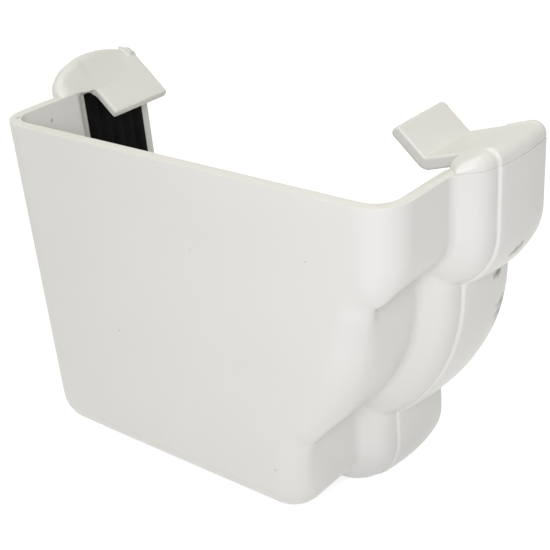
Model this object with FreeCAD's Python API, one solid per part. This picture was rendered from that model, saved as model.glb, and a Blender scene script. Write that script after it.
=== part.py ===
import FreeCAD
import Part
import os
from math import acos, atan2, cos, hypot, pi, radians, sin, sqrt, tan

# Stop end for an ogee rain gutter of 110 x 80, in millimetres. While it is drawn, x runs from the back wall's
# outer face to the ogee front, y from the end wall's outer face to the open mouth, and z = 0 is the top rim.

# Body shell, outer sizes
bodyWidth = 110.0
bodyHeight = 82.8
wall = 2.8
endRound = 8.4
backRound = 8.8
lipLean = radians(2.0)

# Ogee front: three lobes, each set back from the one above it, with a soft crease between them
upperRound = 9.4
upperDepth = 13.0
middleRound = 41.4
middleSet = 8.4
middleLift = 55.3
lowerRound = 9.3
lowerSet = 26.8
creaseRound = 3.5
creaseLeast = 0.8

# Shoulder: hollow, straight flank and crown that carry the body out to the collar on every side
shoulderStart = 17.6
shoulderHollow = 6.0
shoulderAngle = radians(50.0)
shoulderCrown = 4.5
shoulderRise = 5.65

# Collar: a bead line, then a band that swells a little and falls back towards the mouth
beadY = 28.5
beadRise = 0.65
beadWidth = 0.3
mouthY = 47.3
mouthFlare = 0.1
bandCrown = 0.8
mouthRound = 0.7
mouthLead = 1.0

# Inside the collar: a stop for the gutter's end, the seal's pocket and a lip that keeps the seal in
stopStart = 22.6
stopEnd = 25.6
boreInset = 0.9
sealNear = 26.4
sealFar = 44.2
sealThick = 4.2
sealStand = 0.8
sealTop = 1.0

# Front clip: a cap over the front lip, a slope that runs in from it and a lever plate rising from the slope
capStart = 23.3
capInset = 0.25
ridgeHeight = 4.3
ridgeRound = 3.4
grooveReach = 11.7
grooveDepth = 1.4
clipNear = 29.6
clipThick = 2.7
leverLength = 8.7
leverAngle = radians(42.0)
leverRound = 1.2
rimWidth = 1.4
rimRise = 0.5

# Back hook: a dome over the back wall and a plate that leaves its foot, leaning in and down
domeStart = 17.6
domeCrest = 33.0
domeHeight = 6.4
domeFall = 2.4
domeRound = 2.4
footRise = 1.0
hookNear = 29.2
hookLength = 10.4
hookAngle = radians(40.7)
hookThick = 2.2
hookRound = 0.8
barWidth = 1.6
barRise = 0.7
barLength = 6.3

# Depth by which one solid runs into its neighbour before they are fused
bite = 1.0

upper = (bodyWidth - upperRound, -upperDepth)
middle = (bodyWidth - middleSet - middleRound, middleLift - bodyHeight)
lower = (bodyWidth - lowerSet - lowerRound, lowerRound - bodyHeight)
collarRise = shoulderRise + beadRise
pocketOut = sealThick - sealStand - boreInset
tightest = min(upperRound, lowerRound, backRound) - creaseLeast / 2
endCurve = min(endRound, tightest)
flankDrop = (shoulderHollow + shoulderCrown) * (1 - cos(shoulderAngle))
flankRun = (shoulderRise - flankDrop) / tan(shoulderAngle)
crownY = shoulderStart + flankRun + (shoulderHollow + shoulderCrown) * sin(shoulderAngle)


def line(a, b, y):
    return Part.LineSegment(FreeCAD.Vector(a[0], y, a[1]), FreeCAD.Vector(b[0], y, b[1])).toShape()


def onCircle(centre, radius, angle):
    return (centre[0] + radius * cos(angle), centre[1] + radius * sin(angle))


def step(spot, angle, length):
    return onCircle(spot, length, angle)


def arc(centre, radius, start, end, y):
    spots = [onCircle(centre, radius, a) for a in (start, (start + end) / 2, end)]
    return Part.Arc(*[FreeCAD.Vector(x, y, z) for x, z in spots]).toShape()


def bearing(a, b):
    return atan2(b[1] - a[1], b[0] - a[0])


# Closes a run of points and arcs (centre, radius, start, end) into one wire with straight joins
def chain(pieces, y):
    edges = []
    ends = []
    for piece in pieces:
        if len(piece) == 2:
            ends.append((piece, piece, None))
        else:
            ends.append((onCircle(*piece[:3]), onCircle(piece[0], piece[1], piece[3]), piece))
    for number, (first, last, curve) in enumerate(ends):
        if curve:
            edges.append(arc(*curve, y))
        following = ends[(number + 1) % len(ends)][0]
        if hypot(following[0] - last[0], following[1] - last[1]) > 1e-6:
            edges.append(line(last, following, y))
    return Part.Wire(edges)


# Face of the leaning front lip at the rim, for a profile that stands out by out
def lipX(out):
    return upper[0] + (upperRound + out) / cos(lipLean) + upperDepth * tan(lipLean)


# Closed profile parallel to the body's outer face: back, base and the three lobes of the front
def gutterSection(y, out):
    crease = max(creaseRound - out, creaseLeast)
    corner = backRound + out
    reach = middleRound + out + crease
    lowCrease = lower[0] + lowerRound + out + crease
    lowFillet = (lowCrease, middle[1] - sqrt(reach ** 2 - (lowCrease - middle[0]) ** 2))
    span = hypot(middle[0] - upper[0], middle[1] - upper[1])
    along = ((upperRound + out + crease) ** 2 - reach ** 2 + span ** 2) / (2 * span)
    aside = sqrt((upperRound + out + crease) ** 2 - along ** 2)
    towards = ((middle[0] - upper[0]) / span, (middle[1] - upper[1]) / span)
    highFillet = (upper[0] + along * towards[0] - aside * towards[1],
                  upper[1] + along * towards[1] + aside * towards[0])
    return chain([
        (-out, 0.0),
        ((backRound, backRound - bodyHeight), corner, pi, 1.5 * pi),
        (lower, lowerRound + out, -pi / 2, 0.0),
        (lowFillet, crease, pi, bearing(lowFillet, middle)),
        (middle, middleRound + out, bearing(middle, lowFillet), bearing(middle, highFillet)),
        (highFillet, crease, bearing(highFillet, middle) % (2 * pi), bearing(highFillet, upper)),
        (upper, upperRound + out, bearing(upper, highFillet), -lipLean),
        (lipX(out), 0.0),
    ], y)


# Stand of the band between the bead line and the mouth
def bandAt(y):
    share = (y - beadY) / (mouthY - beadY)
    return collarRise + mouthFlare * share + 4 * bandCrown * share * (1 - share)


# Stand of the outer skin at a depth y
def standAt(y):
    if y <= shoulderStart:
        return 0.0
    hollowEnd = shoulderStart + shoulderHollow * sin(shoulderAngle)
    if y <= hollowEnd:
        return shoulderHollow - sqrt(shoulderHollow ** 2 - (y - shoulderStart) ** 2)
    crownBegin = crownY - shoulderCrown * sin(shoulderAngle)
    if y <= crownBegin:
        return shoulderHollow * (1 - cos(shoulderAngle)) + (y - hollowEnd) * tan(shoulderAngle)
    if y <= crownY:
        return shoulderRise - shoulderCrown + sqrt(shoulderCrown ** 2 - (crownY - y) ** 2)
    return shoulderRise if y < beadY else bandAt(y)


# Stand of the inner skin at a depth y, which widens at the stop to let the gutter's wall in
def innerAt(y):
    share = min(max((y - stopStart) / (stopEnd - stopStart), 0.0), 1.0)
    return share * (wall - boreInset) - wall


# Rounded turn from the end wall into the side walls, on a skin that lies depth inside the outer one
def endStations(depth, steps):
    curve = endCurve - depth
    turn = [pi / 2 * n / steps for n in range(steps + 1)]
    return [(depth + curve * (1 - cos(a)), -depth - curve * (1 - sin(a))) for a in turn]


def shoulderStations(steps):
    sweep = [shoulderAngle * n / steps for n in range(steps + 1)]
    rows = [(shoulderStart + shoulderHollow * sin(a), shoulderHollow * (1 - cos(a))) for a in sweep]
    return rows + [(y, standAt(y)) for y in [crownY - shoulderCrown * sin(a) for a in reversed(sweep)]]


def loft(wires):
    return Part.makeLoft(wires, True, True)


def shell():
    outer = endStations(0.0, 4) + shoulderStations(4)
    outer += [(beadY - beadWidth, shoulderRise), (beadY, collarRise)]
    bandEnd = mouthY - mouthRound
    outer += [(y, bandAt(y)) for y in [beadY + (bandEnd - beadY) * n / 6 for n in range(1, 7)]]
    outer += [(mouthY, bandAt(mouthY) - mouthRound)]
    inner = endStations(wall, 4)
    inner += [(stopStart, innerAt(stopStart)), (stopEnd, innerAt(stopEnd))]
    inner += [(mouthY - mouthLead, -boreInset), (mouthY, mouthLead / 2 - boreInset)]
    inner += [(mouthY + bite, mouthLead / 2 - boreInset)]
    skin = loft([gutterSection(y, out) for y, out in outer])
    hollow = loft([gutterSection(y, out) for y, out in inner])
    return skin.cut(hollow)


# Prism of a profile over the seal's width, cut off under the caps
def strip(out):
    face = Part.Face(gutterSection(sealNear, out))
    solid = face.extrude(FreeCAD.Vector(0, sealFar - sealNear, 0))
    lid = Part.makeBox(3 * bodyWidth, 3 * mouthY, bodyHeight, FreeCAD.Vector(-bodyWidth, -mouthY, -sealTop))
    return solid.cut(lid)


# Extrudes a closed run of points and arcs from near to the mouth
def plate(pieces, near):
    return Part.Face(chain(pieces, near)).extrude(FreeCAD.Vector(0, mouthY - near, 0))


# Angle at which a line from a lower spot touches a circle's upper side; side is 1 for a spot at the right
def touch(centre, radius, spot, side):
    away = hypot(spot[0] - centre[0], spot[1] - centre[1])
    return bearing(centre, spot) % (2 * pi) + side * acos(radius / away)


groove = (lipX(0.0) - grooveReach, -grooveDepth)
foot = (boreInset, footRise)


# Quarter ellipse that rises from start to its full height at crest
def swellAt(y, start, crest, height):
    return height * sqrt(1 - ((crest - y) / (crest - start)) ** 2)


# Depths at which a rising cap is drawn: closer together at its start, and one at each turn of the stop
def risingRows(start, crest):
    rows = [crest - (crest - start) * cos(radians(a)) for a in (7, 21, 37)]
    return sorted(rows + [y for y in (stopStart, stopEnd) if start < y < crest])


# Cap over the front lip: it rises from the rim in a quarter ellipse, and a thin rim runs along the mouth
def frontCap():
    rows = [(y, swellAt(y, capStart, beadY, ridgeHeight)) for y in risingRows(capStart, beadY - beadWidth)]
    rows += [(beadY - beadWidth, ridgeHeight), (beadY, ridgeHeight), (mouthY - rimWidth, ridgeHeight)]
    rows += [(mouthY - rimWidth + beadWidth, ridgeHeight + rimRise), (mouthY, ridgeHeight + rimRise)]
    wires = []
    for y, height in rows:
        outer = lipX(standAt(y)) - capInset
        inner = lipX(innerAt(y))
        curve = min(ridgeRound, 0.8 * height)
        centre = (outer - curve, height - curve)
        lean = touch(centre, curve, groove, -1)
        start = onCircle(centre, curve, lean)
        slope = start[1] - (start[0] - inner) * (start[1] - groove[1]) / (start[0] - groove[0])
        wires.append(chain([
            (outer, -sealTop),
            (centre, curve, 0.0, lean),
            (inner, max(slope, 0.0)),
            (inner, -sealTop),
        ], y))
    return loft(wires)


# Slope that runs in from the cap, and the lever plate that rises from its foot
def frontClip():
    middleY = (clipNear + mouthY) / 2
    centre = (lipX(standAt(middleY)) - capInset - ridgeRound, ridgeHeight - ridgeRound)
    start = onCircle(centre, ridgeRound, touch(centre, ridgeRound, groove, -1))
    climb = bearing(groove, start)
    root = step(groove, climb, grooveReach)
    rise = pi - leverAngle
    below = rise + pi / 2
    tip = step(groove, rise, leverLength - leverRound)
    return plate([
        root,
        groove,
        (step(tip, below, leverRound), leverRound, rise - pi / 2, rise),
        (step(tip, below, clipThick - leverRound), leverRound, rise, below),
        (groove, clipThick, below, climb + 1.5 * pi),
        step(root, climb - pi / 2, clipThick),
    ], clipNear)


def domeAt(y):
    if y < domeCrest:
        return swellAt(y, domeStart, domeCrest, domeHeight)
    return domeHeight - domeFall * ((y - domeCrest) / (mouthY - domeCrest)) ** 2


# Section of the dome: up the back face, over the crest and straight down to the foot on the inner edge
def domeSection(y, swell):
    height = domeAt(y)
    outer = capInset - standAt(y)
    inner = (-innerAt(y), footRise * domeAt(min(y, domeCrest)) / domeHeight)
    curve = min(domeRound, 0.7 * height, 0.4 * (inner[0] - outer))
    centre = (outer + curve, height - curve)
    lean = touch(centre, curve + swell, inner, 1) - 2 * pi
    return chain([
        (outer - swell, -sealTop),
        (centre, curve + swell, pi, lean),
        inner,
        (inner[0], -sealTop),
    ], y)


def dome():
    rows = risingRows(domeStart, domeCrest) + [(stopEnd + domeCrest) / 2]
    rows += [domeCrest, (2 * domeCrest + mouthY) / 3, (domeCrest + 2 * mouthY) / 3, mouthY]
    return loft([domeSection(y, 0.0) for y in rows])


# Raised bar on the dome's end at the mouth
def mouthBar():
    thick = loft([domeSection(y, barRise) for y in (mouthY - barWidth, mouthY)])
    corner = FreeCAD.Vector(capInset - bandAt(mouthY), mouthY - 2 * barWidth, -sealTop)
    return thick.common(Part.makeBox(barLength, 3 * barWidth, 3 * domeHeight, corner))


# Plate that leaves the dome's foot and holds the gutter's back edge
def backHook():
    tip = step(foot, -hookAngle, hookLength - hookRound)
    below = -hookAngle - pi / 2
    return plate([
        step(foot, pi - hookAngle, hookThick),
        (step(tip, below, hookRound), hookRound, pi / 2 - hookAngle, -hookAngle),
        (step(tip, below, hookThick - hookRound), hookRound, -hookAngle, below),
        step(step(foot, below, hookThick), pi - hookAngle, hookThick),
    ], hookNear)


# The seal's back end is trimmed to lie under the hook
pocket = strip(pocketOut)
hook = backHook()
seal = pocket.cut(strip(pocketOut - sealThick)).cut(hook)
body = shell().cut(pocket)
for piece in (frontCap(), frontClip(), dome(), mouthBar(), hook):
    body = body.fuse(piece)
body = body.removeSplitter()

box = body.optimalBoundingBox()
home = FreeCAD.Vector(-box.Center.x, -box.Center.y, -box.ZMin)
os.makedirs("parts", exist_ok=True)
for name, shape in (("stop_end_body", body), ("rubber_seal", seal)):
    shape.translate(home)
    print(name, shape.isValid(), len(shape.Solids), round(shape.Volume, 1), shape.optimalBoundingBox())
    shape.exportStep("parts/" + name + ".step")
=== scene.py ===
import bpy
import bmesh
from math import acos, atan2, cos, exp, hypot, pi, radians, sin, sqrt, tan
from mathutils import Matrix, Vector


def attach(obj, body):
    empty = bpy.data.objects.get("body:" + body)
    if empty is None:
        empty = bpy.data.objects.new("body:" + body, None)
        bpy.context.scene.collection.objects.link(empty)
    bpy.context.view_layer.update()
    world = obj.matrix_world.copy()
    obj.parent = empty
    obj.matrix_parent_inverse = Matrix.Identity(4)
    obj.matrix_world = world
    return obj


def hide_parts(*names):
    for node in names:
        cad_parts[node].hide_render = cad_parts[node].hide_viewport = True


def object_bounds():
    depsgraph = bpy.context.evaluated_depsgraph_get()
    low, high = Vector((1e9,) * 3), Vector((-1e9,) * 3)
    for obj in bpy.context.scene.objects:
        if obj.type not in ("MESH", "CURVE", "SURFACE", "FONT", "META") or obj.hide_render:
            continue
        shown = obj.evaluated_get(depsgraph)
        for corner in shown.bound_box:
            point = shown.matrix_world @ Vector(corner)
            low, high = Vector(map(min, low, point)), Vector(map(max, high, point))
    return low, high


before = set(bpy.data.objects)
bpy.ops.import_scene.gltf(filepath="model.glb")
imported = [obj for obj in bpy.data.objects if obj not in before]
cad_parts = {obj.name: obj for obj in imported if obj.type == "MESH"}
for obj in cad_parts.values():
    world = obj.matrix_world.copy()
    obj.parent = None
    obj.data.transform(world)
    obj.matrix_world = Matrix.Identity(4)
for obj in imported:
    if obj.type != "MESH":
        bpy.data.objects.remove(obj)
cadLow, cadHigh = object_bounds()
print("frame loaded", sorted(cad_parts))

perMetre = 1000  # the pieces are drawn in millimetres
mergeReach = 2e-6  # points nearer than this, in metres, are one point
creaseTurn = radians(40)  # a sharper turn is shaded as an edge

# Moulding in millimetres: x from the back wall, y from the end wall, z = 0 at the rim
ogee = {
    "width": 110.0, "height": 82.8, "wall": 2.8, "endRound": 8.4, "backRound": 8.8, "lipLean": radians(2.0),
    "upperRound": 9.4, "upperDepth": 12.4,
    "middleRound": 41.4, "middleSet": 8.4, "middleLift": 56.0,
    "lowerRound": 9.3, "lowerSet": 26.8,
    "creaseRound": 2.4, "creaseLeast": 1.4,
    "lowFill": 2.3, "highFill": 2.9, "fillWidth": 6.5, "fillDepth": 1.7, "lowMiddle": 3, "highMiddle": 4,
    "upperSag": 0.32, "middleSag": 0.36,
    "shoulderStart": 19.6, "hollow": 3.0, "angle": radians(50.0), "crown": 6.0, "rise": 5.65,
    "beadY": 29.4, "beadRise": 0.65, "beadWidth": 0.5,
    "mouthY": 47.29, "flare": 0.1, "bandCrown": 0.784, "bandPeak": 0.62, "mouthRound": 0.7, "mouthLead": 1.0,
    "stopStart": 22.3, "stopEnd": 26.2, "boreInset": 0.9,
    "grooveNear": 26.4, "grooveFar": 44.2, "grooveDepth": 2.5,
}
# Steps along each run of the ogee line, in order from the back rim round to the front rim
runSteps = {
    "back": 10, "backArc": 14, "base": 10, "lowArc": 20, "ledge": 2, "lowCrease": 8,
    "bigArc": 44, "highCrease": 8, "topArc": 20, "lip": 6,
}
upper = (ogee["width"] - ogee["upperRound"], -ogee["upperDepth"])
middle = (ogee["width"] - ogee["middleSet"] - ogee["middleRound"], ogee["middleLift"] - ogee["height"])
lower = (ogee["width"] - ogee["lowerSet"] - ogee["lowerRound"], ogee["lowerRound"] - ogee["height"])
collarRise = ogee["rise"] + ogee["beadRise"]
flankDrop = (ogee["hollow"] + ogee["crown"]) * (1 - cos(ogee["angle"]))
flankRun = (ogee["rise"] - flankDrop) / tan(ogee["angle"])
crownY = ogee["shoulderStart"] + flankRun + (ogee["hollow"] + ogee["crown"]) * sin(ogee["angle"])


def onCircle(centre, radius, angle):
    return (centre[0] + radius * cos(angle), centre[1] + radius * sin(angle))


def bearing(a, b):
    return atan2(b[1] - a[1], b[0] - a[0])


def arcRun(centre, radius, start, end, count):
    return [onCircle(centre, radius, start + (end - start) * n / count) for n in range(count + 1)]


def lineRun(a, b, count):  # points between a and b, without the two ends
    return [(a[0] + (b[0] - a[0]) * n / count, a[1] + (b[1] - a[1]) * n / count) for n in range(1, count)]


def quarterTurn(count):  # angles from nothing to a right angle
    return [pi / 2 * n / count for n in range(count + 1)]


def smoothShare(t):
    t = min(max(t, 0.0), 1.0)
    return t * t * (3 - 2 * t)


def lipX(out):
    lean = ogee["lipLean"]
    return upper[0] + (ogee["upperRound"] + out) / cos(lean) + ogee["upperDepth"] * tan(lean)


# Ogee outline that stands out from the body's outer face by out, from the back rim round to the front rim
def ogeeRun(out):
    crease = max(ogee["creaseRound"] - out, ogee["creaseLeast"])
    sag = max(out - ogee["creaseRound"] + ogee["creaseLeast"], 0.0)  # the collar's lobes hang a little lower
    high = (upper[0], upper[1] - ogee["upperSag"] * sag)
    mid = (middle[0], middle[1] - ogee["middleSag"] * sag)
    topRound = ogee["upperRound"] + out
    bigRound = ogee["middleRound"] + out
    reach = bigRound + crease
    lowX = lower[0] + ogee["lowerRound"] + out + crease
    lowFillet = (lowX, mid[1] - sqrt(reach ** 2 - (lowX - mid[0]) ** 2))
    span = hypot(mid[0] - high[0], mid[1] - high[1])
    along = ((topRound + crease) ** 2 - reach ** 2 + span ** 2) / (2 * span)
    aside = sqrt((topRound + crease) ** 2 - along ** 2)
    way = ((mid[0] - high[0]) / span, (mid[1] - high[1]) / span)
    highFillet = (high[0] + along * way[0] - aside * way[1], high[1] + along * way[1] + aside * way[0])
    corner = (ogee["backRound"], ogee["backRound"] - ogee["height"])
    backArc = arcRun(corner, ogee["backRound"] + out, pi, 1.5 * pi, runSteps["backArc"])
    lowArc = arcRun(lower, ogee["lowerRound"] + out, -pi / 2, 0.0, runSteps["lowArc"])
    lowCrease = arcRun(lowFillet, crease, pi, bearing(lowFillet, mid), runSteps["lowCrease"])
    bigArc = arcRun(mid, bigRound, bearing(mid, lowFillet), bearing(mid, highFillet), runSteps["bigArc"])
    turnIn = bearing(highFillet, mid) % (2 * pi)
    highCrease = arcRun(highFillet, crease, turnIn, bearing(highFillet, high), runSteps["highCrease"])
    topArc = arcRun(high, topRound, bearing(high, highFillet), -ogee["lipLean"], runSteps["topArc"])
    rimBack = (-out, 0.0)
    rimFront = (lipX(out), 0.0)
    run = [rimBack] + lineRun(rimBack, backArc[0], runSteps["back"]) + backArc
    run += lineRun(backArc[-1], lowArc[0], runSteps["base"]) + lowArc
    run += lineRun(lowArc[-1], lowCrease[0], runSteps["ledge"]) + lowCrease[:-1]
    run += bigArc + highCrease[1:] + topArc[1:]
    return run + lineRun(topArc[-1], rimFront, runSteps["lip"]) + [rimFront]


def stepsBefore(run):
    names = list(runSteps)
    return sum(runSteps[name] for name in names[:names.index(run)])


def bandAt(y):
    peak = ogee["bandPeak"]
    share = (y - ogee["beadY"]) / (ogee["mouthY"] - ogee["beadY"])
    fall = (peak - share) / (peak if share < peak else 1 - peak)
    return collarRise + ogee["flare"] * share + ogee["bandCrown"] * (1 - fall ** 2)


def standAt(y):
    start, hollow, crown, angle = (ogee[key] for key in ("shoulderStart", "hollow", "crown", "angle"))
    hollowEnd = start + hollow * sin(angle)
    if y <= start:
        return 0.0
    if y <= hollowEnd:
        return hollow - sqrt(hollow ** 2 - (y - start) ** 2)
    if y <= crownY - crown * sin(angle):
        return hollow * (1 - cos(angle)) + (y - hollowEnd) * tan(angle)
    if y <= crownY:
        return ogee["rise"] - crown + sqrt(crown ** 2 - (crownY - y) ** 2)
    return ogee["rise"] if y < ogee["beadY"] else bandAt(y)


def innerAt(y):
    share = smoothShare((y - ogee["stopStart"]) / (ogee["stopEnd"] - ogee["stopStart"]))
    return share * (ogee["wall"] - ogee["boreInset"]) - ogee["wall"]


# The collar reaches furthest out and down on the band's fullest line
lowest = bandAt(ogee["beadY"] + ogee["bandPeak"] * (ogee["mouthY"] - ogee["beadY"]))
homeX = cadLow.x * perMetre + lowest
homeZ = cadLow.z * perMetre + ogee["height"] + lowest
home = Vector((homeX, cadLow.y * perMetre, homeZ))  # the drawing's zero point in the part's frame


def place(x, y, z):  # drawing millimetres to metres in the part's frame
    return Vector((x + home.x, y + home.y, z + home.z)) / perMetre


# Node helpers, for finishes and shapes alike
def addNode(tree, kind, **settings):
    made = tree.nodes.new(kind)
    for key, value in settings.items():
        setattr(made, key, value)
    return made


def feed(tree, socket, value):
    if isinstance(value, bpy.types.NodeSocket):
        tree.links.new(value, socket)
    else:
        socket.default_value = value


def calc(tree, operation, *values):
    made = addNode(tree, "ShaderNodeMath", operation=operation)
    for socket, value in zip(made.inputs, values):
        feed(tree, socket, value)
    return made.outputs[0]


def vectorCalc(tree, operation, first, second):
    made = addNode(tree, "ShaderNodeVectorMath", operation=operation)
    feed(tree, made.inputs[0], first)
    feed(tree, made.inputs["Scale"] if operation == "SCALE" else made.inputs[1], second)
    return made.outputs[0]


def noiseOn(tree, coords, scale, detail):
    made = addNode(tree, "ShaderNodeTexNoise")
    for label, value in (("Vector", coords), ("Scale", scale), ("Detail", detail)):
        feed(tree, made.inputs[label], value)
    return made.outputs["Fac"]


whole = (0.0, 1.0)


def rangeOf(tree, value, fromRange, toRange):
    made = addNode(tree, "ShaderNodeMapRange", clamp=True)
    labels = ("Value", "From Min", "From Max", "To Min", "To Max")
    for label, given in zip(labels, (value, *fromRange, *toRange)):
        feed(tree, made.inputs[label], given)
    return made.outputs["Result"]


def blendColour(tree, share, first, second):
    made = addNode(tree, "ShaderNodeMix", data_type="RGBA")
    feed(tree, made.inputs["Factor"], share)
    colourSockets = [socket for socket in made.inputs if socket.type == "RGBA"]
    for socket, colour in zip(colourSockets, (first, second)):
        feed(tree, socket, (*colour, 1.0) if isinstance(colour, tuple) else colour)
    return next(socket for socket in made.outputs if socket.type == "RGBA")


def bumpOn(tree, height, strength, depth, under=None):
    made = addNode(tree, "ShaderNodeBump")
    for label, value in (("Height", height), ("Strength", strength), ("Distance", depth)):
        feed(tree, made.inputs[label], value)
    if under:
        feed(tree, made.inputs["Normal"], under)
    return made.outputs["Normal"]


def startMaterial(name):
    material = bpy.data.materials.new(name)
    material.use_nodes = True
    tree = material.node_tree
    coords = addNode(tree, "ShaderNodeTexCoord").outputs["Object"]
    return material, tree, tree.nodes["Principled BSDF"].inputs, coords


# White moulded plastic: warm tint that drifts, a fine skin, faint flow lines, a few dirt dots, and dark and
# bluish patches of painted shade and painted reflection near the creases and the mouth edge
# A noise is its scale and detail, a bump its strength and depth
pvcLook = {
    "pale": (0.80, 0.797, 0.765), "warm": (0.785, 0.775, 0.73),
    "dirtAndShade": (0.15, 0.145, 0.13), "paintedReflectionBlue": (0.20, 0.235, 0.245),
    "drift": (22.0, 3.0), "driftRange": (0.35, 0.65), "driftGloss": (0.29, 0.38),
    "ripple": (90.0, 1.0), "rippleBump": (0.05, 0.0006), "rippleGloss": (0.0, 0.05),
    "skin": (1900.0, 2.0), "skinBump": (0.02, 0.00008),
    "ragged": (900.0, 3.0), "raggedRange": (-0.45, 0.85), "markFade": (0.4, 1.25), "lightBend": 1.53,
}
# Each mark: its place in drawing millimetres, its reach along x, y and z, and its strength
dirtAndShadeMarks = {
    # Painted shade and painted dark reflection under the upper lobe's band
    "underBandA": ((115.2, 38.4, -20.8), (2.0, 1.3, 1.7), 0.75),
    "underBandB": ((115.0, 37.0, -21.2), (2.0, 1.3, 1.5), 0.85),
    "underBandC": ((114.7, 35.8, -21.6), (2.0, 1.2, 1.3), 0.8),
    # Painted shade in the crease between the lobes
    "crease": ((108.7, 41.2, -30.2), (1.4, 2.0, 1.5), 0.9),
    # Dirt dots on the rim, the back wall and the end wall
    "rimDot": ((3.6, 4.1, 0.0), (0.8, 0.8, 0.8), 0.55),
    "backDot": ((2.8, 14.0, -4.1), (0.6, 0.6, 0.6), 0.5),
    "wallDotA": ((58.6, 0.0, -19.1), (0.4, 0.6, 0.4), 0.25),
    "wallDotB": ((31.4, 0.0, -46.6), (0.4, 0.6, 0.4), 0.3),
    "wallDotC": ((76.1, 0.0, -69.3), (0.6, 0.6, 0.4), 0.3),
    "wallDotD": ((89.9, 0.0, -14.2), (0.4, 0.6, 0.3), 0.25),
}
# Bluish patches at the mouth edge are a painted reflection
paintedReflectionMarks = {
    "mouthEdgeA": ((107.2, 45.8, -39.6), (4.4, 3.8, 2.5), 0.85),
    "mouthEdgeB": ((106.4, 46.0, -42.2), (4.4, 4.0, 2.5), 0.95),
    "mouthEdgeC": ((105.4, 46.2, -44.8), (4.4, 3.0, 2.4), 0.6),
}


def markMask(tree, coords, marks, ragged):  # soft spots with a ragged edge
    total = None
    for spot, reach, strength in marks.values():
        offset = vectorCalc(tree, "SUBTRACT", coords, place(*spot))
        scaled = vectorCalc(tree, "DIVIDE", offset, [n / perMetre for n in reach])
        size = addNode(tree, "ShaderNodeVectorMath", operation="LENGTH")
        feed(tree, size.inputs[0], scaled)
        away = calc(tree, "ADD", size.outputs["Value"], ragged)
        part = rangeOf(tree, away, pvcLook["markFade"], (strength, 0.0))
        total = calc(tree, "MAXIMUM", total, part) if total else part
    return total


def makePlastic():
    material, tree, shader, coords = startMaterial("white_pvc")
    drift, ripple, skin = (noiseOn(tree, coords, *pvcLook[key]) for key in ("drift", "ripple", "skin"))
    tint = rangeOf(tree, drift, pvcLook["driftRange"], whole)
    colour = blendColour(tree, tint, pvcLook["pale"], pvcLook["warm"])
    ragged = rangeOf(tree, noiseOn(tree, coords, *pvcLook["ragged"]), whole, pvcLook["raggedRange"])
    # Painted reflection, painted shade and dirt dots laid over the tint
    for marks, dirtShadeAndReflectionTone in ((paintedReflectionMarks, "paintedReflectionBlue"), (dirtAndShadeMarks, "dirtAndShade")):
        colour = blendColour(tree, markMask(tree, coords, marks, ragged), colour, pvcLook[dirtShadeAndReflectionTone])
    driftGloss = rangeOf(tree, drift, whole, pvcLook["driftGloss"])
    rippleGloss = rangeOf(tree, ripple, whole, pvcLook["rippleGloss"])
    flow = bumpOn(tree, ripple, *pvcLook["rippleBump"])
    feed(tree, shader["Base Color"], colour)
    feed(tree, shader["Roughness"], calc(tree, "ADD", driftGloss, rippleGloss))
    feed(tree, shader["Normal"], bumpOn(tree, skin, *pvcLook["skinBump"], flow))
    feed(tree, shader["IOR"], pvcLook["lightBend"])
    return material


rubberLook = {
    "black": (0.004, 0.004, 0.0042), "dusty": (0.009, 0.0088, 0.0085),
    "drift": (120.0, 3.0), "dustRange": (0.45, 0.75),
    "grain": (2600.0, 2.0), "grainRange": (0.3, 0.7), "gloss": (0.6, 0.76), "grainBump": (0.25, 0.0001),
    "shine": 0.05,
}


def makeRubber():
    material, tree, shader, coords = startMaterial("black_rubber")
    dust = rangeOf(tree, noiseOn(tree, coords, *rubberLook["drift"]), rubberLook["dustRange"], whole)
    grain = noiseOn(tree, coords, *rubberLook["grain"])
    feed(tree, shader["Base Color"], blendColour(tree, dust, rubberLook["black"], rubberLook["dusty"]))
    feed(tree, shader["Roughness"], rangeOf(tree, grain, rubberLook["grainRange"], rubberLook["gloss"]))
    feed(tree, shader["Normal"], bumpOn(tree, grain, *rubberLook["grainBump"]))
    feed(tree, shader["Specular IOR Level"], rubberLook["shine"])
    return material


plastic = makePlastic()
rubber = makeRubber()
print("materials made")


def meshFrom(name, points, faces):
    mesh = bpy.data.meshes.new(name)
    mesh.from_pydata(points, [], faces)
    thing = bpy.data.objects.new(name, mesh)
    bpy.context.scene.collection.objects.link(thing)
    return thing


# Rings of equal length joined side by side, with a flat face over each end ring
def loftRings(rings):
    count = len(rings[0])
    points = [p for ring in rings for p in ring]
    faces = []
    for r in range(len(rings) - 1):
        for i in range(count):
            j = (i + 1) % count
            faces.append((r * count + i, r * count + j, (r + 1) * count + j, (r + 1) * count + i))
    faces.append(tuple(reversed(range(count))))
    faces.append(tuple(range((len(rings) - 1) * count, len(rings) * count)))
    return points, faces


def openMesh(thing):
    work = bmesh.new()
    work.from_mesh(thing.data)
    work.verts.ensure_lookup_table()
    return work


def mergeAndTurn(work):  # doubles merged, faces turned outwards
    bmesh.ops.remove_doubles(work, verts=work.verts, dist=mergeReach)
    bmesh.ops.recalc_face_normals(work, faces=work.faces)


def putBack(work, thing):
    work.to_mesh(thing.data)
    work.free()
    return thing


def bake(thing):  # the evaluated shape becomes a plain mesh and the modifiers go
    depsgraph = bpy.context.evaluated_depsgraph_get()
    mesh = bpy.data.meshes.new_from_object(thing.evaluated_get(depsgraph))
    thing.modifiers.clear()
    thing.data = mesh
    return thing


def oneMaterial(thing, material):  # the closing faces too
    thing.data.materials.clear()
    thing.data.materials.append(material)
    thing.data.polygons.foreach_set("material_index", [0] * len(thing.data.polygons))
    return thing


def roundEdges(thing, width, segments):
    bevel = thing.modifiers.new("edges", "BEVEL")
    bevel.width = width / perMetre
    bevel.segments = segments
    bevel.limit_method = "WEIGHT"
    return bake(thing)


def shadeSmooth(thing):
    thing.data.shade_smooth()
    thing.data.set_sharp_from_angle(angle=creaseTurn)
    return thing


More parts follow.
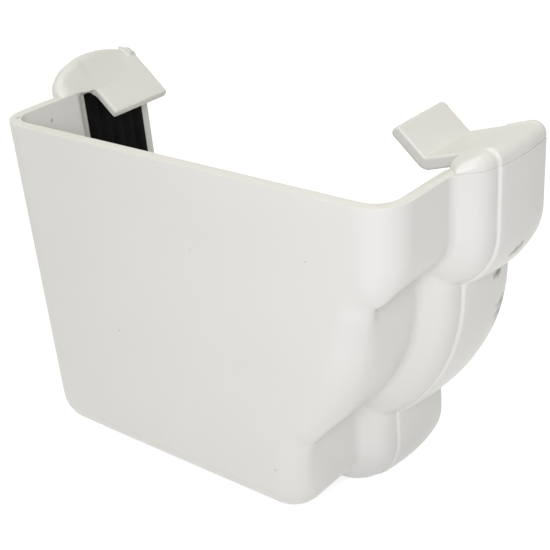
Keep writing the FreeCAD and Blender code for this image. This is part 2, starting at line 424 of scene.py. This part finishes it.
# Overlapping closed forms melted into one moulded form with soft inner corners
def meltTogether(name, forms, grain, rounds):
    points = []
    faces = []
    for formPoints, formFaces in forms:
        first = len(points)
        points += formPoints
        faces += [tuple(first + i for i in face) for face in formFaces]
    thing = meshFrom(name, points, faces)
    work = openMesh(thing)
    mergeAndTurn(work)
    putBack(work, thing)
    melt = thing.modifiers.new("melt", "REMESH")
    melt.mode = "VOXEL"
    melt.voxel_size = grain / perMetre
    soften = thing.modifiers.new("soften", "SMOOTH")
    soften.iterations = rounds
    bake(thing)
    thing.data.shade_smooth()
    thing.data.materials.append(plastic)
    return thing


def pick(tree, geometry, value, index):  # the value that one point of a geometry holds
    made = addNode(tree, "GeometryNodeSampleIndex", data_type="FLOAT_VECTOR", domain="POINT", clamp=True)
    for label, given in (("Geometry", geometry), ("Value", value), ("Index", index)):
        feed(tree, made.inputs[label], given)
    return made.outputs[0]


def spotOf(tree):
    return addNode(tree, "GeometryNodeInputPosition").outputs[0]


def named(tree, label):
    made = addNode(tree, "GeometryNodeInputNamedAttribute", data_type="FLOAT_VECTOR")
    feed(tree, made.inputs["Name"], label)
    return made.outputs["Attribute"]


def startTree(name, sizes):
    tree = bpy.data.node_groups.new(name, "GeometryNodeTree")
    tree.is_modifier = True
    tree.interface.new_socket("Geometry", in_out="OUTPUT", socket_type="NodeSocketGeometry")
    tree.interface.new_socket("Geometry", in_out="INPUT", socket_type="NodeSocketGeometry")
    for label, kind in sizes.items():
        tree.interface.new_socket(label, in_out="INPUT", socket_type="NodeSocket" + kind)
    return tree, addNode(tree, "NodeGroupInput").outputs


# Grid whose columns run along the ogee and whose rows run round the section
def sweepGrid(tree, sizes, column, out, along, inset):
    grid = addNode(tree, "GeometryNodeMeshGrid")
    feed(tree, grid.inputs["Vertices X"], sizes["Columns"])
    feed(tree, grid.inputs["Vertices Y"], sizes["Rows"])
    line = sizes["Geometry"]
    spot = pick(tree, line, spotOf(tree), column)
    away, tight, fill = (pick(tree, line, named(tree, label), column) for label in ("away", "tight", "fill"))
    near = vectorCalc(tree, "SCALE", away, calc(tree, "MINIMUM", out, sizes["Room"]))
    beyond = calc(tree, "MAXIMUM", calc(tree, "SUBTRACT", out, sizes["Room"]), 0.0)
    far = vectorCalc(tree, "SCALE", tight, beyond)
    shift = addNode(tree, "ShaderNodeCombineXYZ")
    feed(tree, shift.inputs["Y"], along)
    part = calc(tree, "MINIMUM", calc(tree, "DIVIDE", inset, sizes["Fill Depth"]), 1.0)
    part = calc(tree, "MULTIPLY", part, calc(tree, "SUBTRACT", 2.0, part))
    filled = vectorCalc(tree, "SCALE", fill, part)
    farther = vectorCalc(tree, "ADD", far, shift.outputs[0])
    moved = vectorCalc(tree, "ADD", vectorCalc(tree, "ADD", spot, near), farther)
    settle = addNode(tree, "GeometryNodeSetPosition")
    feed(tree, settle.inputs["Geometry"], grid.outputs["Mesh"])
    feed(tree, settle.inputs["Position"], vectorCalc(tree, "ADD", moved, filled))
    return settle.outputs[0]


def gridPlace(tree, sizes):  # row and column of a grid point
    index = addNode(tree, "GeometryNodeInputIndex").outputs[0]
    column = calc(tree, "FLOOR", calc(tree, "DIVIDE", calc(tree, "ADD", index, 0.5), sizes["Rows"]))
    row = calc(tree, "SUBTRACT", index, calc(tree, "MULTIPLY", column, sizes["Rows"]))
    return row, column


def endTree(tree, geometry, material):
    realize = addNode(tree, "GeometryNodeRealizeInstances")
    paint = addNode(tree, "GeometryNodeSetMaterial")
    feed(tree, realize.inputs[0], geometry)
    feed(tree, paint.inputs["Geometry"], realize.outputs[0])
    feed(tree, paint.inputs["Material"], material)
    feed(tree, addNode(tree, "NodeGroupOutput").inputs[0], paint.outputs[0])


def runTree(thing, tree, values):
    modifier = thing.modifiers.new(tree.name, "NODES")
    modifier.node_group = tree
    for item in tree.interface.items_tree:
        if item.in_out == "INPUT" and item.name in values:
            modifier[item.identifier] = values[item.name]
    return bake(thing)


# How far each point's crease is filled out where the end wall rounds over
def creaseFills(base):
    travel = [0.0]
    for a, b in zip(base, base[1:]):
        travel.append(travel[-1] + hypot(b[0] - a[0], b[1] - a[1]))
    lowAt = travel[stepsBefore("lowCrease") + ogee["lowMiddle"]]
    highAt = travel[stepsBefore("highCrease") + ogee["highMiddle"]]
    creases = ((lowAt, ogee["lowFill"]), (highAt, ogee["highFill"]))
    return [max(fill * exp(-((t - at) / ogee["fillWidth"]) ** 2) for at, fill in creases) for t in travel]


def waysBetween(first, second, span):
    return [((b[0] - a[0]) / span, 0.0, (b[1] - a[1]) / span) for a, b in zip(first, second)]


# Ogee line as a string of points that know which way is out, below and beyond the room their crease has
def makePath(name, top=0.0):
    room = ogee["creaseRound"] - ogee["creaseLeast"]
    base, turn, wide = (ogeeRun(out) for out in (0.0, room, lowest))
    points = [place(x, 0.0, z) for x, z in base]
    if top:
        points[0].z -= top / perMetre
        points[-1].z -= top / perMetre
        points[-1].x -= top * tan(ogee["lipLean"]) / perMetre
    thing = meshFrom(name, points, [])
    away = waysBetween(base, turn, room)
    fill = [[n * (f / perMetre) for n in way] for way, f in zip(away, creaseFills(base))]
    held = {"away": away, "fill": fill, "tight": waysBetween(turn, wide, lowest - room)}
    for label, ways in held.items():
        layer = thing.data.attributes.new(label, "FLOAT_VECTOR", "POINT")
        layer.data.foreach_set("vector", [n for way in ways for n in way])
    return thing, len(points), room


# Shell: one skin that starts on the end wall, goes out to the mouth and comes back inside
shellSizes = {
    "endSteps": 14, "shoulderSteps": 12, "beadSteps": 6, "bandSteps": 12, "mouthSteps": 6, "stopSteps": 8,
    "wallLap": 0.25, "mouthEase": 0.12, "collarLead": 4.0,
    "rimEdge": 0.4, "collarEdge": 0.14, "edgeSteps": 3, "edgeTurn": radians(55),
}


def endRows(depth):
    tightest = min(ogee["upperRound"], ogee["lowerRound"], ogee["backRound"]) - ogee["creaseLeast"] / 2
    curve = min(ogee["endRound"], tightest) - depth
    flat = [(depth, -depth - curve - shellSizes["wallLap"])]
    turns = quarterTurn(shellSizes["endSteps"])
    return flat + [(depth + curve * (1 - cos(a)), -depth - curve * (1 - sin(a))) for a in turns]


def shellRows():
    steps = shellSizes["shoulderSteps"]
    sweep = [ogee["angle"] * n / steps for n in range(steps + 1)]
    rows = endRows(0.0)
    rows += [(ogee["shoulderStart"] + ogee["hollow"] * sin(a), ogee["hollow"] * (1 - cos(a))) for a in sweep]
    rows += [(y, standAt(y)) for y in [crownY - ogee["crown"] * sin(a) for a in reversed(sweep)]]
    for n in range(shellSizes["beadSteps"] + 1):  # rounded step of the bead line
        share = n / shellSizes["beadSteps"]
        lift = ogee["rise"] + ogee["beadRise"] * smoothShare(share)
        rows.append((ogee["beadY"] - ogee["beadWidth"] * (1 - share), lift))
    mouth = ogee["mouthY"]
    mouthStart = mouth - ogee["mouthRound"]
    for n in range(1, shellSizes["bandSteps"] + 1):
        y = ogee["beadY"] + (mouthStart - ogee["beadY"]) * n / shellSizes["bandSteps"]
        rows.append((y, bandAt(y)))
    for a in quarterTurn(shellSizes["mouthSteps"])[1:]:
        out = bandAt(mouthStart) - ogee["mouthRound"] * (1 - cos(a))
        rows.append((mouthStart + ogee["mouthRound"] * sin(a), out))
    lead = ogee["mouthLead"]
    bore = -ogee["boreInset"]
    groove = bore + ogee["grooveDepth"]
    near = ogee["grooveNear"]
    far = ogee["grooveFar"]
    ease = bore + shellSizes["mouthEase"]
    rows += [(mouth, lead / 2 + bore), (mouth - lead / 2, ease), (mouth - lead, bore)]
    rows += [(far, bore), (far, groove), (near, groove), (near, bore)]
    for n in range(shellSizes["stopSteps"] + 1):
        y = ogee["stopEnd"] + (ogee["stopStart"] - ogee["stopEnd"]) * n / shellSizes["stopSteps"]
        rows.append((y, innerAt(y)))
    return rows + list(reversed(endRows(ogee["wall"])))


def shellSection(rows):  # x is out, y is along, and z is how far the end's rounding is inset
    ends = len(endRows(0.0))
    insets = [-out for y, out in rows[:ends]] + [0.0] * (len(rows) - 2 * ends)
    insets += [-out - ogee["wall"] for y, out in rows[-ends:]]
    points = [Vector((out, y, z)) / perMetre for (y, out), z in zip(rows, insets)]
    return meshFrom("shellSection", points, [])


def makeShell():
    rows = shellRows()
    count = len(rows)
    section = shellSection(rows)
    path, columns, room = makePath("shell")
    kinds = {"Section": "Object", "Columns": "Int", "Rows": "Int", "Room": "Float", "Fill Depth": "Float"}
    tree, sizes = startTree("ogeeShell", kinds)
    row, column = gridPlace(tree, sizes)
    info = addNode(tree, "GeometryNodeObjectInfo", transform_space="ORIGINAL")
    feed(tree, info.inputs["Object"], sizes["Section"])
    parts = addNode(tree, "ShaderNodeSeparateXYZ")
    feed(tree, parts.inputs[0], pick(tree, info.outputs["Geometry"], spotOf(tree), row))
    endTree(tree, sweepGrid(tree, sizes, column, *parts.outputs), plastic)
    values = {"Section": section, "Columns": columns, "Rows": count}
    values.update({"Room": room / perMetre, "Fill Depth": ogee["fillDepth"] / perMetre})
    runTree(path, tree, values)
    bpy.data.objects.remove(section)
    work = openMesh(path)
    for r in (0, count - 1):  # the end wall's outer and inner face
        work.faces.new([work.verts[c * count + r] for c in range(columns)])
    backRim, frontRim = ([work.verts[c * count + r] for r in range(count)] for c in (0, columns - 1))
    work.faces.new(backRim[::-1] + frontRim)
    mergeAndTurn(work)
    weight = work.edges.layers.float.new("bevel_weight_edge")
    collarStart = place(0, ogee["shoulderStart"] + shellSizes["collarLead"], 0).y
    for edge in work.edges:  # the rim is softer where it shows than under the caps
        if edge.calc_face_angle(0.0) > shellSizes["edgeTurn"]:
            onCollar = max(v.co.y for v in edge.verts) > collarStart
            edge[weight] = shellSizes["collarEdge"] / shellSizes["rimEdge"] if onCollar else 1.0
    roundEdges(putBack(work, path), shellSizes["rimEdge"], shellSizes["edgeSteps"])
    return shadeSmooth(oneMaterial(path, plastic))


shell = makeShell()
print("shell", len(shell.data.polygons))


def touch(centre, radius, spot, side):  # where a line from spot touches a circle
    away = hypot(spot[0] - centre[0], spot[1] - centre[1])
    return bearing(centre, spot) % (2 * pi) + side * acos(radius / away)


# Front clip: cap over the lip, slope running in and lever plate
clip = {
    "start": 21.4, "slant": 3.4, "inset": 0.08, "height": 3.1, "round": 3.0, "roundShare": 0.8,
    "bulbTurns": (3, 7, 12, 18, 25, 33, 42, 52, 63, 75), "beadRows": ((-0.5, 0.0), (0.0, 0.35), (4.0, 0.2)),
    "plain": 8.0, "rimWidth": 1.4, "rimStep": 0.3, "rimRise": 0.25,
    "undercut": 0.32, "gap": 0.06, "sink": 2.0,
    "reach": 11.7, "depth": 1.6, "near": 29.6, "thick": 2.7,
    "lever": 8.9, "angle": radians(42.0), "leverRound": 1.0, "edge": 0.4, "mitre": 0.8,
    "roundSteps": 14, "slopeSteps": 3, "tipSteps": 6, "foldSteps": 10, "edgeSteps": 5,
    "grain": 0.22, "soften": 2,
}
fold = (lipX(0.0) - clip["reach"], -clip["depth"])  # where the slope and the lever meet


def frontCap():
    start = clip["start"]
    bead = ogee["beadY"]
    top = clip["height"]
    rows = [(bead - (bead - start) * cos(a), top * sin(a)) for a in map(radians, clip["bulbTurns"])]
    rows += [(bead + run, top + lift) for run, lift in clip["beadRows"]]
    mouth = ogee["mouthY"]
    rim = mouth - clip["rimWidth"]
    rimTop = top + clip["rimRise"]
    rows += [(mouth - clip["plain"], top), (rim, top), (rim + clip["rimStep"], rimTop), (mouth, rimTop)]
    rings = []
    for y, height in rows:
        outer = lipX(standAt(y)) - clip["inset"]
        inner = lipX(-ogee["wall"])
        slant = clip["slant"] * max((bead - y) / (bead - start), 0.0)  # it starts later on its inner side
        curve = min(clip["round"], clip["roundShare"] * height)
        centre = (outer - curve, height - curve)
        lean = touch(centre, curve, fold, -1)
        begin = onCircle(centre, curve, lean)
        slope = begin[1] - (begin[0] - inner) * (begin[1] - fold[1]) / (begin[0] - fold[0])
        foot = (inner, max(slope, 0.0))
        tuck = outer - clip["undercut"]
        ring = [(tuck, -clip["sink"]), (tuck, 0.0), (outer, min(clip["gap"], centre[1]))]
        ring += arcRun(centre, curve, 0.0, lean, clip["roundSteps"])
        ring += lineRun(begin, foot, clip["slopeSteps"]) + [foot, (inner, -clip["sink"])]
        rings.append([place(x, y + slant * (outer - x) / (outer - inner), z) for x, z in ring])
    return loftRings(rings)


def plateOutline():
    middleY = (clip["near"] + ogee["mouthY"]) / 2
    centre = (lipX(standAt(middleY)) - clip["inset"] - clip["round"], clip["height"] - clip["round"])
    begin = onCircle(centre, clip["round"], touch(centre, clip["round"], fold, -1))
    climb = bearing(fold, begin)
    root = onCircle(fold, clip["reach"], climb)
    rise = pi - clip["angle"]
    below = rise + pi / 2
    tipRound = clip["leverRound"]
    tip = onCircle(fold, clip["lever"] - tipRound, rise)
    lowTip = onCircle(tip, clip["thick"] - tipRound, below)
    outline = [root, fold]
    outline += arcRun(onCircle(tip, tipRound, below), tipRound, rise - pi / 2, rise, clip["tipSteps"])
    outline += arcRun(lowTip, tipRound, rise, below, clip["tipSteps"])
    outline += arcRun(fold, clip["thick"], below, climb + 1.5 * pi, clip["foldSteps"])
    return outline + [onCircle(root, clip["thick"], climb - pi / 2)]


# Plate drawn as an outline in x and z, with its two ends rounded in y
def clipPlate():
    outline = plateOutline()
    count = len(outline)
    area = sum(outline[i - 1][0] * outline[i][1] - outline[i][0] * outline[i - 1][1] for i in range(count))
    turn = 1 if area > 0 else -1
    ways = []
    for i in range(count):
        a, b, c = outline[i - 1], outline[i], outline[(i + 1) % count]
        before = hypot(b[0] - a[0], b[1] - a[1]) or 1
        after = hypot(c[0] - b[0], c[1] - b[1]) or 1
        n = ((a[1] - b[1]) / before + (b[1] - c[1]) / after, (b[0] - a[0]) / before + (c[0] - b[0]) / after)
        size = max(n[0] ** 2 + n[1] ** 2, clip["mitre"])
        ways.append((turn * 2 * n[0] / size, turn * 2 * n[1] / size))
    edge = clip["edge"]
    turns = quarterTurn(clip["edgeSteps"])
    ends = [(clip["near"] + edge * (1 - cos(a)), edge * (1 - sin(a))) for a in turns]
    ends += [(ogee["mouthY"] - edge * (1 - cos(a)), edge * (1 - sin(a))) for a in reversed(turns)]
    rings = []
    for y, inset in ends:
        rings.append([place(x + w[0] * inset, y, z + w[1] * inset) for (x, z), w in zip(outline, ways)])
    return loftRings(rings)


frontClip = meltTogether("front_clip", [frontCap(), clipPlate()], clip["grain"], clip["soften"])
print("front clip", len(frontClip.data.polygons))

# Back hook: dome over the back wall, raised bar at the mouth, and the plate that leans in
hook = {
    "start": 18.6, "crest": 33.0, "height": 5.9, "fall": 2.9, "inset": 0.02,
    "round": 2.4, "roundShare": 0.7, "widthShare": 0.4, "tuck": 0.2, "skirt": 0.3, "lap": 0.3, "sink": 2.0,
    "domeTurns": (3, 6, 10, 15, 21, 28, 36, 44, 52, 61, 70, 80),
    "fallSteps": 6, "roundSteps": 14, "slopeSteps": 4,
    "bar": 5.2, "barWidth": 2.0, "barRise": 1.05, "barInset": 0.08, "barStart": 0.64 * pi, "barSteps": 10,
    "foot": 0.7, "near": 29.2, "length": 10.4, "angle": radians(40.7), "thick": 2.2,
    "fillet": 1.8, "root": 2.0,
    "stations": (-3.0, 0.0, 2.0, 2.15, 2.4, 2.7, 3.1, 3.5, 3.9, 5.4, 8.0), "tipSteps": 5,
    "edge": 0.45, "edgeLeast": 0.05, "edgeSteps": 4, "grain": 0.18, "soften": 5,
}


def domeAt(y):
    crest = hook["crest"]
    if y < crest:
        return hook["height"] * sqrt(max(1 - ((crest - y) / (crest - hook["start"])) ** 2, 0.0))
    return hook["height"] - hook["fall"] * ((y - crest) / (ogee["mouthY"] - crest)) ** 2


def backDome():
    start = hook["start"]
    crest = hook["crest"]
    steps = hook["fallSteps"]
    rows = [crest - (crest - start) * cos(a) for a in map(radians, hook["domeTurns"])]
    rows += [crest + (ogee["mouthY"] - crest) * n / steps for n in range(steps + 1)]
    rings = []
    for y in rows:
        height = domeAt(y)
        swell = 1 - max((ogee["beadY"] - y) / (ogee["beadY"] - start), 0.0) ** 2
        bulge = max(ogee["rise"] * sqrt(max(swell, 0.0)) - standAt(y), 0.0)  # overhang past the shoulder
        outer = hook["inset"] - standAt(y) - bulge
        run = smoothShare((y - ogee["stopStart"]) / (hook["near"] - hook["fillet"] - ogee["stopStart"]))
        drop = (ogee["wall"] - ogee["boreInset"]) * tan(hook["angle"])
        inner = (ogee["wall"], run * (hook["foot"] - drop))
        curve = min(hook["round"], hook["roundShare"] * height, hook["widthShare"] * (inner[0] - outer))
        centre = (outer + curve, height - curve)
        arc = arcRun(centre, curve, pi, touch(centre, curve, inner, 1) - 2 * pi, hook["roundSteps"])
        ring = [(outer + bulge + hook["tuck"], -hook["sink"] - bulge), (outer, -hook["skirt"])] + arc
        ring += lineRun(arc[-1], inner, hook["slopeSteps"])
        ring += [inner, (-hook["lap"] - innerAt(y), -hook["sink"])]
        rings.append([place(x, y, z) for x, z in ring])
    return loftRings(rings)


def mouthBar():
    mouth = ogee["mouthY"]
    outer = hook["barInset"] - bandAt(mouth)
    inner = (ogee["boreInset"], hook["foot"])
    rings = []
    for y in (mouth - hook["barWidth"], mouth):
        centre = (outer + hook["round"], domeAt(y) - hook["round"])
        barRound = hook["round"] + hook["barRise"]
        lean = touch(centre, barRound, inner, 1) - 2 * pi
        top = arcRun(centre, barRound, hook["barStart"], lean, hook["barSteps"])
        end = outer + hook["bar"]
        share = (end - top[-1][0]) / (inner[0] - top[-1][0])
        stop = (end, top[-1][1] + (inner[1] - top[-1][1]) * share)
        ring = top + [stop, (end, 0.0), (top[0][0], 0.0)]
        rings.append([place(x, y, z) for x, z in ring])
    return loftRings(rings)


# Plate cut across its length, wider at the root where it runs out into the dome
def hookPlate():
    foot = (ogee["boreInset"], hook["foot"])
    way = (cos(hook["angle"]), -sin(hook["angle"]))
    over = (sin(hook["angle"]), cos(hook["angle"]))
    edge = hook["edge"]
    length = hook["length"]
    steps = hook["edgeSteps"]
    stations = [*hook["stations"], *(length - edge * (1 - sin(a)) for a in quarterTurn(hook["tipSteps"]))]
    rings = []
    for s in stations:
        t = min(max(1 - (s - hook["root"]) / hook["fillet"], 0.0), 1.0)
        near = hook["near"] - hook["fillet"] * (1 - sqrt(1 - t * t))
        late = min(max(s - (length - edge), 0.0) / edge, 1.0)
        inset = edge * (1 - sqrt(1 - late * late))
        r = edge - inset + hook["edgeLeast"]
        left = near + inset + r
        right = ogee["mouthY"] - inset - r
        high = -inset - r
        low = -hook["thick"] + inset + r
        ring = []
        for corner, (cy, ch) in enumerate(((right, high), (left, high), (left, low), (right, low))):
            for n in range(steps + 1):
                a = pi / 2 * (corner + n / steps)
                h = ch + r * sin(a)
                x = foot[0] + way[0] * s + over[0] * h
                ring.append(place(x, cy + r * cos(a), foot[1] + way[1] * s + over[1] * h))
        rings.append(ring)
    return loftRings(rings)


backHook = meltTogether("back_hook", [backDome(), mouthBar(), hookPlate()], hook["grain"], hook["soften"])
print("back hook", len(backHook.data.polygons))


# Seal: a ribbed strip in the collar's groove, which a node tree sweeps along the ogee
seal = {
    "stand": 0.8, "top": 1.0, "ribs": 5, "ribRise": 0.3, "ribSteps": 10,
    "backRows": 3, "backMiddle": 1.5, "backReach": 0.9,
}


def makeSeal():
    path, columns, room = makePath("rubber_lining", seal["top"])
    faceSteps = seal["ribs"] * seal["ribSteps"]
    rows = faceSteps + 1 + seal["backRows"]
    lengths = {
        "Near": ogee["grooveNear"], "Far": ogee["grooveFar"],
        "Inner": -(ogee["boreInset"] + seal["stand"]), "Outer": ogee["grooveDepth"] - ogee["boreInset"],
        "Rib Rise": seal["ribRise"], "Room": room, "Fill Depth": ogee["fillDepth"],
    }
    counts = {"Ribs": seal["ribs"], "Face Steps": faceSteps, "Columns": columns, "Rows": rows}
    kinds = {**dict.fromkeys(lengths, "Float"), **dict.fromkeys(counts, "Int")}
    tree, sizes = startTree("ribbedStrip", kinds)
    row, column = gridPlace(tree, sizes)
    steps = sizes["Face Steps"]
    back = calc(tree, "ADD", steps, seal["backMiddle"])  # halfway across the two rows in the groove
    inGroove = calc(tree, "COMPARE", row, back, seal["backReach"])
    backAgain = calc(tree, "GREATER_THAN", row, back)
    share = calc(tree, "MINIMUM", calc(tree, "DIVIDE", row, steps), 1.0)
    share = calc(tree, "MULTIPLY", share, calc(tree, "SUBTRACT", 1.0, backAgain))
    width = calc(tree, "SUBTRACT", sizes["Far"], sizes["Near"])
    along = calc(tree, "ADD", sizes["Near"], calc(tree, "MULTIPLY", share, width))
    wave = calc(tree, "SINE", calc(tree, "MULTIPLY", calc(tree, "MULTIPLY", share, pi), sizes["Ribs"]))
    crest = calc(tree, "SUBTRACT", 1.0, calc(tree, "ABSOLUTE", wave))
    face = calc(tree, "ADD", sizes["Inner"], calc(tree, "MULTIPLY", sizes["Rib Rise"], crest))
    depth = calc(tree, "SUBTRACT", sizes["Outer"], face)
    out = calc(tree, "ADD", face, calc(tree, "MULTIPLY", inGroove, depth))
    endTree(tree, sweepGrid(tree, sizes, column, out, along, 0.0), rubber)
    runTree(path, tree, {**{label: n / perMetre for label, n in lengths.items()}, **counts})
    work = openMesh(path)
    for c in (0, columns - 1):  # the strip's two ends
        work.faces.new([work.verts[c * rows + r] for r in range(rows - 1)])
    mergeAndTurn(work)
    return shadeSmooth(oneMaterial(putBack(work, path), rubber))


lining = makeSeal()
print("seal", len(lining.data.polygons))

finishes = (
    (shell, "white_pvc"), (frontClip, "white_pvc"), (backHook, "white_pvc"),
    (lining, "black_rubber"),
)
for piece, slot in finishes:
    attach(piece, "root")
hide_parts("stop_end_body")
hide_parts("rubber_seal")

# Camera at the photograph's viewpoint; the focal length, centre and picture are in its pixels
shot = {
    "focal": 1185.9, "azimuth": 39.05, "elevation": 27.17, "roll": -4.39,
    "spot": (222.95, -156.68, 88.02), "centre": (330.0, 275.0), "picture": 550,
    "sensor": 36.0, "nearest": 0.01, "farthest": 20.0,
}


def makeCamera():
    a, e, r = (radians(shot[k]) for k in ("azimuth", "elevation", "roll"))
    back = Vector((sin(a) * cos(e), -cos(a) * cos(e), sin(e)))
    right = (-back).cross(Vector((0, 0, 1))).normalized()
    down = (-back).cross(right)
    sideways = cos(r) * right - sin(r) * down
    downwards = sin(r) * right + cos(r) * down
    data = bpy.data.cameras.new("photoCamera")
    data.sensor_width = shot["sensor"]
    data.lens = shot["sensor"] * shot["focal"] / shot["picture"]
    data.shift_x = 0.5 - shot["centre"][0] / shot["picture"]
    data.shift_y = shot["centre"][1] / shot["picture"] - 0.5
    data.clip_start = shot["nearest"]
    data.clip_end = shot["farthest"]
    camera = bpy.data.objects.new("photoCamera", data)
    bpy.context.scene.collection.objects.link(camera)
    turn = Matrix((sideways, -downwards, back)).transposed().to_4x4()
    camera.matrix_world = Matrix.Translation(place(*shot["spot"])) @ turn
    bpy.context.scene.camera = camera


makeCamera()
print("camera set")

# Paper floor, pale surroundings and two soft lamps
studio = {
    "floor": 3.0, "paper": 0.84, "lift": 0.62, "sky": 0.33, "skySeen": 1.0, "skyTint": (1.0, 0.985, 0.95),
    "keySpot": (0.22, -0.30, 0.26), "keySize": 0.13, "keyPower": 0.82, "keyTint": (0.93, 0.92, 1.0),
    "topSpot": (-0.1, -0.05, 0.9), "topSize": 0.7, "topPower": 2.9, "topTint": (1.0, 1.0, 0.87),
    "aim": (0.0, 0.0, 0.05),
}


def seen(tree, looked, other):  # one strength for what the camera sees, another for light on the object
    rays = addNode(tree, "ShaderNodeLightPath").outputs
    direct = calc(tree, "MAXIMUM", rays["Is Camera Ray"], rays["Is Transmission Ray"])
    return rangeOf(tree, calc(tree, "MAXIMUM", direct, rays["Is Glossy Ray"]), whole, (other, looked))


def makeFloor():
    s = studio["floor"]
    floor = meshFrom("floor", [(-s, -s, 0), (s, -s, 0), (s, s, 0), (-s, s, 0)], [(0, 1, 2, 3)])
    paper = bpy.data.materials.new("studio_paper")
    paper.use_nodes = True
    tree = paper.node_tree
    tree.nodes.clear()
    diffuse = addNode(tree, "ShaderNodeBsdfDiffuse")
    feed(tree, diffuse.inputs["Color"], (studio["paper"], studio["paper"], studio["paper"], 1))
    glow = addNode(tree, "ShaderNodeEmission")
    feed(tree, glow.inputs["Strength"], seen(tree, studio["lift"], 0.0))
    both = addNode(tree, "ShaderNodeAddShader")
    feed(tree, both.inputs[0], diffuse.outputs[0])
    feed(tree, both.inputs[1], glow.outputs[0])
    feed(tree, addNode(tree, "ShaderNodeOutputMaterial").inputs["Surface"], both.outputs[0])
    floor.data.materials.append(paper)


def makeSky():
    world = bpy.data.worlds.new("studio")
    bpy.context.scene.world = world
    world.use_nodes = True
    sky = world.node_tree.nodes["Background"].inputs
    feed(world.node_tree, sky["Color"], (*studio["skyTint"], 1))
    feed(world.node_tree, sky["Strength"], seen(world.node_tree, studio["skySeen"], studio["sky"]))


def makeLamp(name, spot, size, power, tint):
    data = bpy.data.lights.new(name, "AREA")
    data.shape = "SQUARE"
    data.size = size
    data.energy = power
    data.color = tint
    lamp = bpy.data.objects.new(name, data)
    bpy.context.scene.collection.objects.link(lamp)
    lamp.location = spot
    lamp.rotation_euler = (Vector(studio["aim"]) - Vector(spot)).to_track_quat("-Z", "Y").to_euler()


makeFloor()
makeSky()
for lamp in ("key", "top"):
    makeLamp(lamp + "Lamp", *(studio[lamp + part] for part in ("Spot", "Size", "Power", "Tint")))
bpy.context.scene.view_settings.view_transform = "Standard"
print("studio ready")
